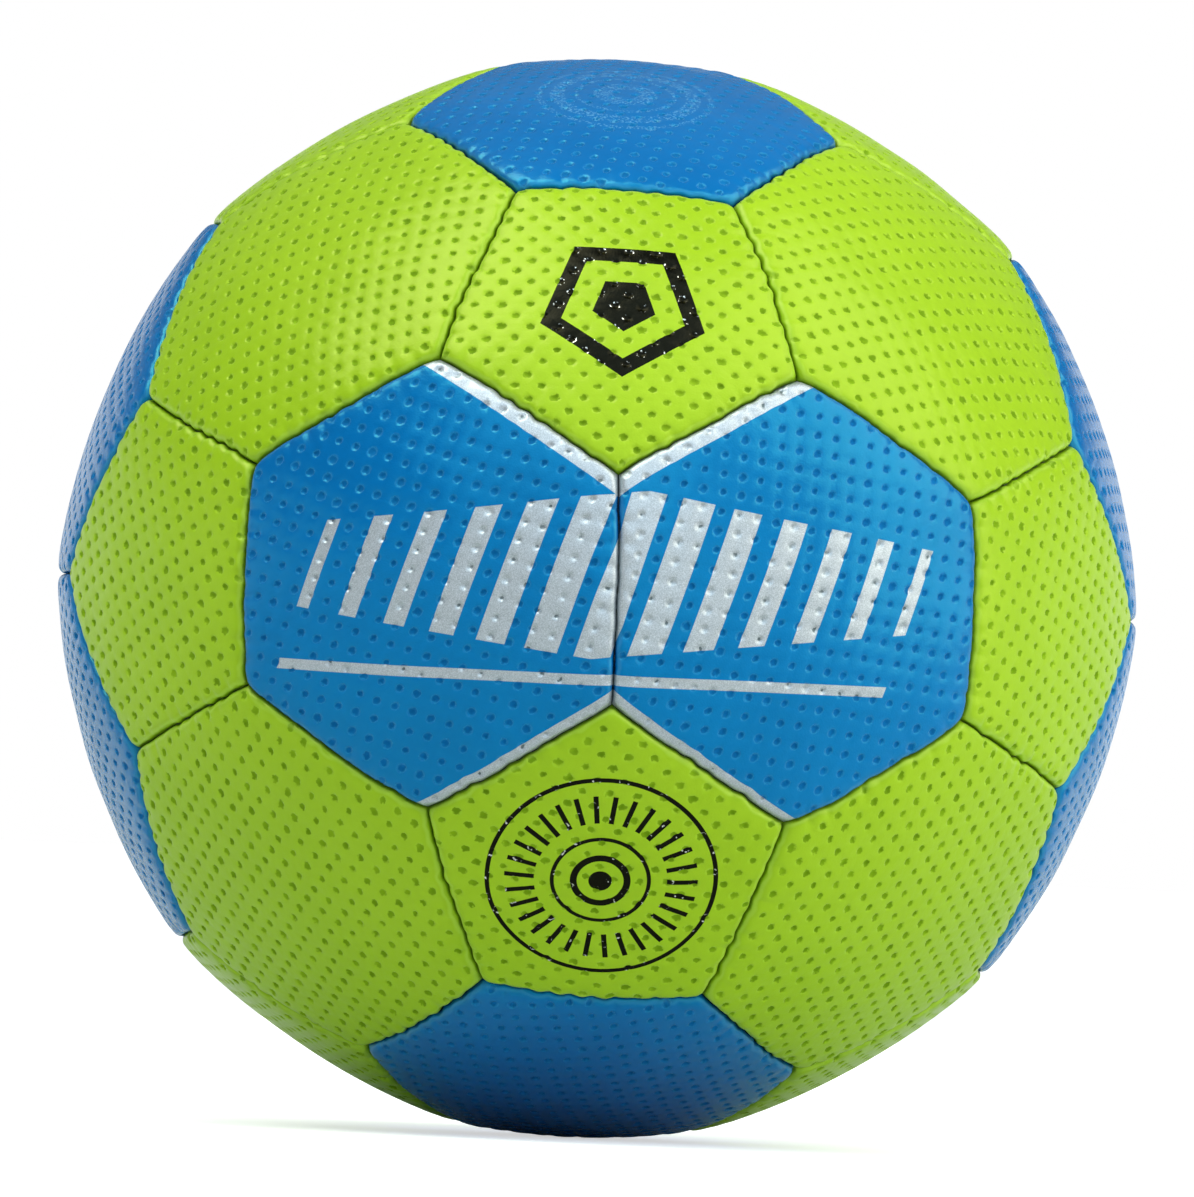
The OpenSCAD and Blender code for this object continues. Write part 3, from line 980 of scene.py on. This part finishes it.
class Shader:
    """A material or world, and the nodes that it is made of."""

    def __init__(self, name, world=None):
        self.material = world or bpy.data.materials.new(name)
        self.material.use_nodes = True
        self.nodes = self.material.node_tree.nodes
        self.links = self.material.node_tree.links
        self.nodes.clear()

    def feed(self, socket, value):
        if isinstance(value, Value):
            self.links.new(value.socket, socket)
        elif value is not None:
            socket.default_value = value

    def node(self, kind, *values, **settings):
        """A node whose inputs are fed in order."""
        node = self.nodes.new("ShaderNode" + kind)
        for title, setting in settings.items():
            setattr(node, title, setting)
        for socket, value in zip(node.inputs, values):
            self.feed(socket, value)
        return node

    def fill(self, node, **inputs):
        """The node, with these of its inputs fed; their names have _ for a space."""
        for title, value in inputs.items():
            self.feed(node.inputs[title.replace("_", " ")], value)
        return node

    def out(self, node, title=0):
        return Value(self, node.outputs[title])

    def math(self, operation, *values):
        return self.out(self.node("Math", *values, operation=operation))

    def mix(self, share, first, second):
        return self.out(self.node("MixRGB", share, first, second))

    def times(self, share, first, second):
        return self.out(self.node("MixRGB", share, first, second, blend_type="MULTIPLY"))

    def own(self, name, output="Fac"):
        """A value that the mesh carries at its points."""
        return self.out(self.node("Attribute", attribute_name=name), output)

    def split(self, vector):
        node = self.node("SeparateXYZ", vector)
        return [self.out(node, title) for title in "XYZ"]

    def noise(self, place, scale, detail=2.0, roughness=0.5):
        node = self.fill(self.node("TexNoise", place), Scale=scale, Detail=detail, Roughness=roughness)
        return self.out(node, "Fac")

    def cells(self, place, scale):
        return self.out(self.fill(self.node("TexVoronoi", place), Scale=scale), "Distance")

    def millimetres(self):
        """Where the point lies on the ball, in millimetres."""
        place = self.out(self.node("TexCoord"), "Object")
        return self.out(self.fill(self.node("VectorMath", place, operation="SCALE"), Scale=1 / MM))

    def bump(self, height, depth, before=None):
        """A normal from heights of 0 to 1, for a relief so many millimetres deep."""
        return self.out(self.fill(self.node("Bump"), Height=height, Distance=depth * MM, Normal=before))

    def seen_by(self):
        """1 for rays that come from the camera, and 1 for rays that come by way of gloss or glass."""
        path = self.node("LightPath")
        glossy, through_glass = self.out(path, "Is Glossy Ray"), self.out(path, "Is Transmission Ray")
        return self.out(path, "Is Camera Ray"), glossy | through_glass

    def finish(self, **inputs):
        """The material, whose surface shader has these inputs."""
        node = self.fill(self.node("BsdfPrincipled"), **inputs)
        self.node("OutputMaterial", self.out(node))
        return self.material


def either(masks):
    """Where any of these masks holds."""
    result = masks[0]
    for mask in masks[1:]:
        result = result | mask
    return result


def inside(distance):
    """A mask with a crisp printed border where a signed distance in millimetres is below 0."""
    return distance.rise(PRINT_BLUR, -PRINT_BLUR)


def from_middle(x, y):
    return x.shader.math("SQRT", x * x + y * y)


def ring(radius, middle, half_width):
    """A mask of a ring, from how far places lie from its centre."""
    return inside(abs(radius - middle) - half_width)


def bars_mask(x, y):
    """The row of slanted bars across a pair of hexagons, and the line below it; x is 0 on the pair's seam."""
    slanted = x - y * BAR_SLANT
    reach = abs(slanted)
    width = reach.span(0, BAND_HALF_LENGTH, *BAR_HALF_WIDTHS)
    height = reach.span(0, BAND_HALF_LENGTH, *BAND_HALF_HEIGHTS)
    in_bar = inside(abs(slanted.wrapped(BAR_PITCH / 2)) - width)
    in_band = inside(abs(y - BAND_RISE) - height)
    line = inside(abs(y + UNDERLINE_DROP) - UNDERLINE_HALF_WIDTH)
    return inside(reach - BAND_HALF_LENGTH) & (in_bar & in_band | line)


def pentagon_distance(x, y, apothem):
    """How far places lie outside a pentagon that points down."""
    angles = [math.pi / 2 + 2 * math.pi * k / 5 for k in range(5)]
    return either([x * math.cos(angle) + y * math.sin(angle) for angle in angles]) - apothem


def pentagon_mask(x, y):
    """A pentagon's outline round a smaller pentagon."""
    outline = inside(abs(pentagon_distance(x, y, PENTAGON_APOTHEM)) - PENTAGON_HALF_LINE)
    return outline | inside(pentagon_distance(x, y, PENTAGON_MIDDLE_APOTHEM))


def emblem_mask(x, y):
    """Two thin rings with ticks between them, and a ring and a spot in the middle."""
    radius = from_middle(x, y)
    off = abs(x.shader.math("ARCTAN2", y, x).wrapped(math.pi / TICKS)) * radius
    ticks = inside(off - TICK_HALF_WIDTH) & ring(radius, TICK_MIDDLE_R, TICK_HALF_LENGTH)
    return either([ticks] + [ring(radius, *sizes) for sizes in EMBLEM_RINGS])


def clear_rings_mask(x, y):
    """Plain rings of fine specks."""
    radius = from_middle(x, y)
    specks = x.shader.noise(x.shader.millimetres(), CLEAR_SPECK_SCALE, 2.0, 0.6).rise(0.5, 0.62)
    return specks & either([ring(radius, *sizes) for sizes in CLEAR_RINGS])


class Leather(Shader):
    """Coated synthetic leather with pressed dimples, which can be printed on."""

    def __init__(self, name, look):
        super().__init__(name)
        self.look = look
        self.place = self.millimetres()
        self.x, self.y, _ = self.split(self.own("flat", "Vector"))
        self.to_seam = self.own("to_seam")
        self.mottle = self.noise(self.place, MOTTLE_SCALE, 3.0, 0.6)
        self.patches = self.noise(self.place, PATCH_SCALE, 1.0)
        even = self.own("dimple")
        wobble = self.noise(self.place, WOBBLE_SCALE, 1.0).span(*NOISE_RANGE, -DOT_WOBBLE, DOT_WOBBLE)
        uneven = even + wobble
        self.in_dimple = uneven.rise(*DOT_EDGE)
        self.in_middle = uneven.rise(*DOT_MIDDLE)
        self.on_rim = even.rise(*RIM_INSIDE) & even.rise(*RIM_OUTSIDE)
        self.metallic = 0.0
        rough = self.mottle.span(*NOISE_RANGE, *look["roughness"])
        self.rough = self.in_dimple.span(0, 1, rough, DIMPLE_ROUGHNESS)
        clouds = self.noise(self.place, CLOUD_SCALE, 3.0).rise(0.35, 0.65)
        self.colour = self.mix(clouds, look["colour"], look["shade"])
        self.colour = self.times(self.mottle.span(0.35, 0.7, 0.0, MOTTLE_SHARE), self.colour, look["mottle"])
        self.colour_dimples()
        self.colour_edges()

    def paint(self, share, colour):
        """Lays a colour over the leather, to this share of it."""
        self.colour = self.mix(share, self.colour, colour)

    def colour_dimples(self):
        """Dark dots of uneven strength, partly the dimples' own darker colour and partly painted shade in the
        hollows, with a faint painted highlight on their rims.
        """
        look = self.look
        # A faint painted highlight on the dimples' rims, in the clear colour
        self.paint(self.on_rim * RIM_HIGHLIGHT, look["clear"])
        # The dark dots, partly painted shade in the hollows
        strength = self.patches.span(0.35, 0.65, *look["dimple_shares"])
        hollow = self.in_middle * -look["middle_share"] + 1.0
        self.paint(self.in_dimple * strength * hollow, look["dimple"])

    def colour_edges(self):
        """A painted shade beside the seams, a painted highlight on the lip, and a painted shade darkening the
        slit.
        """
        look = self.look
        # Painted shade on the rounded edges beside the seams, ragged by the mottle
        seam_shade = self.to_seam + self.mottle.span(0, 1, -SEAM_SHADE_RAGGED, SEAM_SHADE_RAGGED)
        self.paint(seam_shade.rise(*SEAM_SHADE_REACH) * look["seam_shade_share"], look["edge"])
        # A painted highlight on the lip beside the seams, in the clear colour
        lip = self.to_seam + self.patches.span(*NOISE_RANGE, -LIP_HIGHLIGHT_RAGGED, LIP_HIGHLIGHT_RAGGED)
        self.paint((lip.rise(*LIP_HIGHLIGHT_START) & lip.rise(*LIP_HIGHLIGHT_END)) * look["lip_highlight_share"], look["clear"])
        # Painted shade darkening the slit at the seam
        slit = self.to_seam + self.mottle.span(0, 1, -SLIT_RAGGED, SLIT_RAGGED)
        self.paint(slit.rise(*SLIT_REACH) * SLIT_SHADE_SHARE, look["deep"])

    def print_silver(self, mask):
        """Silver ink with a fine sparkle, and painted shade darkening the middles of some dimples."""
        sparkle = self.noise(self.place, SPARKLE_SCALE, 2.0, 0.7)
        ink = self.mix(sparkle.rise(0.35, 0.7), SILVER[0], SILVER[1])
        # Painted shade darkening the middles of some dimples
        ink = self.mix(self.in_middle * self.patches.span(0.4, 0.6, 0.0, SPECK_SHARE), ink, SILVER[2])
        self.paint(mask, ink)
        self.metallic = mask * SILVER_METALLIC
        self.rough = mask.span(0, 1, self.rough, sparkle.span(*NOISE_RANGE, *SILVER_ROUGHNESS))

    def print_black(self, mask):
        """Black ink, with painted glints on the rims of some dimples."""
        # Painted glints on some dimple rims
        glints = self.on_rim & self.noise(self.place, GLINT_SCALE, 1.0).rise(0.58, 0.66)
        self.paint(mask, self.mix(glints, self.mix(self.mottle, *BLACK), GLINT))
        self.metallic = mask * BLACK_METALLIC
        self.rough = mask.span(0, 1, self.rough, BLACK_ROUGHNESS)

    def print_clear(self, mask):
        """A clear ink that is only a little paler and glossier than the leather."""
        self.paint(mask * CLEAR_SHARE, self.look["clear"])
        self.rough = mask.span(0, 1, self.rough, CLEAR_ROUGHNESS)

    def done(self):
        """The material, with the leather's bare back and a fine grain."""
        back = self.to_seam.rise(-0.2, -0.7)
        self.paint(back, BACKING)
        fine = self.bump(self.noise(self.place, FINE_SCALE, 1.0), GRAIN_DEPTHS[0])
        return self.finish(
            Base_Color=self.colour,
            Metallic=self.metallic,
            Roughness=back.span(0, 1, self.rough, BACKING_ROUGHNESS),
            Specular_IOR_Level=self.look["specular"],
            Specular_Tint=self.look["tint"],
            Normal=self.bump(self.cells(self.place, GRAIN_SCALE), GRAIN_DEPTHS[1], fine),
        )


def printed_leather(name, look, bars_at=None, black=None, clear=None):
    """Leather with its prints.

    bars_at is for a panel with silver bars and edge stripes. It says how far to the right of the panel's
    middle the seam lies on which the bars are centred. black and clear make the masks of prints in that ink.
    """
    skin = Leather(name, look)
    if bars_at is not None:
        skin.print_silver(bars_mask(skin.x - bars_at, skin.y) | inside(skin.own("trim")))
    if black:
        skin.print_black(black(skin.x, skin.y))
    if clear:
        skin.print_clear(clear(skin.x, skin.y))
    return skin.done()


def rubber(name, colour, pale, roughness, depth):
    """Moulded rubber with a fine matt grain and a bloom of dust."""
    shader = Shader(name)
    place = shader.millimetres()
    bloom = shader.noise(place, DUST_SCALE, 4.0, 0.6).span(*DUST_REACH, 0.0, DUST_SHARE)
    grain = shader.noise(place, RUBBER_SCALE, 3.0, 0.6)
    return shader.finish(
        Base_Color=shader.mix(bloom, colour, pale),
        Roughness=grain.span(*NOISE_RANGE, roughness - RUBBER_UNEVEN, roughness + RUBBER_UNEVEN),
        Specular_IOR_Level=0.4,
        Normal=shader.bump(grain, depth),
    )


def cloth(name, warp, weft, pitch):
    """Plain woven cloth, laminated or rubberised, whose threads lie a pitch of so many millimetres apart."""
    shader = Shader(name)
    place = shader.millimetres()
    x, y, z = shader.split(place)
    across = shader.math("SINE", (x + y) * (math.pi / pitch))
    along = shader.math("SINE", (z - y) * (math.pi / pitch))
    fuzz = shader.noise(place, FUZZ_SCALE, 3.0, 0.7).span(*NOISE_RANGE, 0.0, FUZZ_SHARE)
    weave = shader.mix((across * along).rise(-0.3, 0.3), warp, weft)
    return shader.finish(
        Base_Color=shader.times(fuzz, weave, FUZZ_SHADE),
        Roughness=0.9,
        Sheen_Weight=0.2,
        Normal=shader.bump(abs(across) | abs(along), WEAVE_DEPTH),
    )


def waxed_thread(name, colour, pale):
    """Waxed twisted thread: fine slanted plies and a patchy shine."""
    shader = Shader(name)
    place = shader.millimetres()
    x, y, z = shader.split(place)
    plies = abs(shader.math("SINE", (x + y + z) * PLY_TURN))
    return shader.finish(
        Base_Color=shader.mix(plies.span(0.2, 1.0, 0.0, PLY_SHARE), colour, pale),
        Roughness=shader.noise(place, WAX_SCALE, 3.0, 0.6).span(*NOISE_RANGE, *WAX_ROUGHNESS),
        Normal=shader.bump(plies, PLY_DEPTH),
    )


def lathe(name, axis, profile, body):
    """A turned piece round an axis through the ball's centre.

    Its closed profile of radii and heights runs anticlockwise, with the heights drawn upwards.
    """
    axis = unit(axis)
    side = unit(np.cross((0, 0, 1), axis))
    angles = np.arange(LATHE_CORNERS) * 2 * math.pi / LATHE_CORNERS
    outward = np.outer(np.cos(angles), side) + np.outer(np.sin(angles), np.cross(axis, side))
    points = np.concatenate([axis * height + radius * outward for radius, height in profile])
    first = np.arange(len(points)).reshape(-1, LATHE_CORNERS)
    second = np.roll(first, -1, 0)
    faces = np.stack([first, np.roll(first, -1, 1), np.roll(second, -1, 1), second], -1).reshape(-1, 4)
    piece = new_object(name, points, faces.tolist())
    piece.data.shade_smooth()
    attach(piece, body)
    return piece


def rounded(corners, radius):
    """A closed profile with its corners rounded by short arcs of points."""
    result = []
    for k, corner in enumerate(corners):
        here = np.array(corner, float)
        before = np.array(corners[k - 1], float) - here
        after = np.array(corners[(k + 1) % len(corners)], float) - here
        room = min(radius, *[np.linalg.norm(side) * ROUNDING_ROOM for side in (before, after)])
        start = here + unit(before) * room
        end = here + unit(after) * room
        for t in np.arange(ROUNDING_STEPS + 1) / ROUNDING_STEPS:
            result.append((1 - t) ** 2 * start + 2 * t * (1 - t) * here + t * t * end)
    return result


def build_stitches(seams):
    """Where the thread shows between the panels: a short run of it in the slit at every stitch."""
    shares = np.linspace(0, 1, THREAD_RINGS)
    sizes = THREAD_R * np.sqrt(np.maximum(1 - (2 * shares - 1) ** 4, THREAD_END_SHARE))
    angles = (np.arange(THREAD_CORNERS) * 2 * math.pi / THREAD_CORNERS)[None, :, None]
    runs = []
    for seam in seams:
        for place, shift in zip(seam.stitches, seam.shift(seam.stitches)):
            along = (place + (shares - 0.5) * THREAD_SHOWN) / FLAT_R
            ways = np.outer(np.cos(along), seam.m) + np.outer(np.sin(along), seam.e)
            middles = ways * (THREAD_TOP_R - THREAD_R) + shift * seam.n
            rings = np.cos(angles) * ways[:, None] + np.sin(angles) * np.cross(seam.e, seam.m)
            runs.append(middles[:, None] + sizes[:, None, None] * rings)
    points = np.array(runs).reshape(-1, 3)
    first = np.arange(len(points)).reshape(-1, THREAD_RINGS, THREAD_CORNERS)
    after = np.roll(first, -1, 2)
    sides = np.stack([first[:, :-1], after[:, :-1], after[:, 1:], first[:, 1:]], -1).reshape(-1, 4)
    ends = np.concatenate([first[:, 0, ::-1], first[:, -1]])
    piece = new_object("seam_stitches", hand_stitched(points), sides.tolist() + ends.tolist())
    piece.data.shade_smooth()
    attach(piece, "root")
    return piece


def build_valve(axis):
    """The rubber socket, whose face is in the valve panel, and the plug in it with the needle's channel."""
    socket_corners = [
        (AIR_HOLE_R, BARREL_END),
        (BARREL_R, BARREL_END),
        (BARREL_R, INNER_R),
        (SOCKET_FLANGE_R, FLANGE_FOOT),
        (SOCKET_FLANGE_R, FLANGE_TOP),
        (NECK_R, FLANGE_MIDDLE),
        (NECK_R, NECK_TOP),
        (HEAD_R + CORE_GAP, NECK_TOP),
        (HEAD_R + CORE_GAP, HEAD_SEAT),
        (CORE_R + CORE_GAP, HEAD_SEAT),
        (CORE_R + CORE_GAP, CORE_END - CORE_GAP),
        (AIR_HOLE_R, CORE_END - CORE_GAP),
    ]
    core_corners = [
        (NEEDLE_R, CORE_END),
        (CORE_R, CORE_END),
        (CORE_R, NECK_TOP - HEAD_T),
        (HEAD_R, NECK_TOP - HEAD_T),
        (HEAD_R, NECK_TOP),
        (LEAD_IN_R, NECK_TOP),
        (NEEDLE_R, NECK_TOP - LEAD_IN_DEPTH),
    ]
    socket = lathe("valve_socket_rubber", axis, rounded(socket_corners, SOCKET_ROUNDING), "root")
    core = lathe("valve_core_rubber", axis, rounded(core_corners, CORE_ROUNDING), "core")
    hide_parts("valve_socket")
    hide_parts("valve_core")
    return socket, core


def softbox(name, direction, distance, size, level, colour):
    """A square lamp that shines at the ball, and alone lights a white face turned to it to this level."""
    data = bpy.data.lights.new(name, "AREA")
    data.shape = "SQUARE"
    data.size = size
    data.energy = level * math.pi**2 * distance**2
    data.color = colour
    lamp = bpy.data.objects.new(name, data)
    way = Vector(direction).normalized()
    lamp.matrix_world = Matrix.Translation(way * distance) @ way.to_track_quat("Z", "Y").to_matrix().to_4x4()
    bpy.context.scene.collection.objects.link(lamp)
    return lamp


def build_camera():
    """The photograph's view: the ball is turned a little in it, and the camera stands about 3 m off."""
    turn = Vector([math.radians(angle) for angle in VIEW_TURN])
    model_turn = Matrix.Rotation(turn.length, 4, turn.normalized())
    data = bpy.data.cameras.new("camera")
    data.sensor_fit = "HORIZONTAL"
    data.sensor_width = SENSOR
    data.lens = SENSOR * CAMERA_DISTANCE / FRAME_WIDTH
    data.clip_end = VIEW_END
    camera = bpy.data.objects.new("camera", data)
    away = Matrix.Translation((0, -CAMERA_DISTANCE * MM, 0)) @ Matrix.Rotation(math.pi / 2, 4, "X")
    camera.matrix_world = model_turn.inverted() @ away
    bpy.context.scene.collection.objects.link(camera)
    bpy.context.scene.camera = camera


def build_floor(height):
    """A plain pale floor, which keeps the ball's shadow.

    It glows a little for the camera. Far off, where no lamp reaches, it is white for gloss and glass too.
    """
    corners = [(x * FLOOR_HALF, y * FLOOR_HALF, height) for x, y in ((-1, -1), (1, -1), (1, 1), (-1, 1))]
    floor = new_object("floor", np.array(corners) / MM, [(0, 1, 2, 3)])
    shader = Shader("floor_white")
    place = shader.millimetres()
    away = shader.out(shader.node("VectorMath", place, operation="LENGTH"), "Value")
    by_camera, by_gloss = shader.seen_by()
    in_view = by_camera & away.span(*FLOOR_GLOW_REACH, FLOOR_GLOW, 1)
    in_gloss = by_gloss & away.span(*FLOOR_SHINE_REACH, 0, 1)
    paint = shader.finish(
        Base_Color=shader.mix(shader.noise(place, FLOOR_CLOUD_SCALE), *FLOOR_PAINT),
        Roughness=0.8,
        Specular_IOR_Level=0.1,
        Emission_Color=WHITE,
        Emission_Strength=in_view | in_gloss,
    )
    floor.data.materials.append(paint)
    floor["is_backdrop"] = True


def build_world():
    """A white backdrop round a soft studio, which is paler above than below.

    The camera sees white everywhere. Gloss and glass see it up to the backdrop's top, with the studio above.
    """
    world = bpy.data.worlds.new("studio")
    bpy.context.scene.world = world
    shader = Shader("studio", world)
    height = shader.split(shader.out(shader.node("TexCoord"), "Generated"))[2]
    by_camera, by_gloss = shader.seen_by()
    white = by_camera | by_gloss & abs(height).rise(*BACKDROP_FADE)
    level = height.rise(*SKY_REACH).span(0, 1, *SKY)
    studio = shader.out(shader.node("Background", (*COOL, 1), level))
    backdrop = shader.out(shader.node("Background", WHITE, 1.0))
    shader.node("OutputWorld", shader.out(shader.node("MixShader", white, studio, backdrop)))


def clothe(node, material):
    """Gives a CAD node that stays as it is its finished material."""
    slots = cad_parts[node].material_slots
    if not slots:
        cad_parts[node].data.materials.append(material)
    for slot in slots:
        slot.material = material


def main():
    panels, seams = lay_out()
    prints = {
        "blue_hexagon_front_left": {"bars_at": PAIR_HALF},
        "blue_hexagon_front_right": {"bars_at": -PAIR_HALF},
        "blue_hexagon_top_front": {"clear": clear_rings_mask},
        "green_pentagon_front_upper": {"black": pentagon_mask},
        "green_pentagon_front_lower": {"black": emblem_mask},
    }
    looks = {"blue": BLUE, "green": GREEN}
    plain = {colour: printed_leather(colour + "_leather", look) for colour, look in looks.items()}
    for panel in panels:
        colour, _, where = panel.name.split("_", 2)
        leather = plain[colour]
        if panel.name in prints:
            leather = printed_leather(f"{colour}_leather_{where}", looks[colour], **prints[panel.name])
        piece = build_panel(panel)
        piece.data.materials.append(leather)
        colour + "_leather"

    thread = waxed_thread("thread", *THREAD_COLOURS)
    build_stitches(seams).data.materials.append(thread)
    axis = next(panel.w for panel in panels if panel.name == VALVE_NODE)
    socket, core = build_valve(axis)
    socket.data.materials.append(rubber("socket_rubber", *SOCKET_RUBBER))
    core.data.materials.append(rubber("core_rubber", *CORE_RUBBER))
    lining = cloth("lining", *LINING_CLOTH)
    for node in ("blue_hexagon_linings", "green_hexagon_linings", "green_pentagon_linings"):
        clothe(node, lining)
    clothe("hexagon_seam_threads", thread)
    clothe("pentagon_seam_threads", thread)
    clothe("bladder", rubber("bladder_rubber", *BLADDER_RUBBER))
    clothe("valve_patch", cloth("patch_cloth", *PATCH_CLOTH))

    build_camera()
    build_floor(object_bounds()[0][2])
    build_world()
    for lamp in LAMPS:
        softbox(*lamp)
    softbox(*BACK_LAMP).visible_glossy = False
    softbox(*SHEEN_LAMP).visible_diffuse = False
    bpy.context.scene.view_settings.view_transform = "Standard"


main()
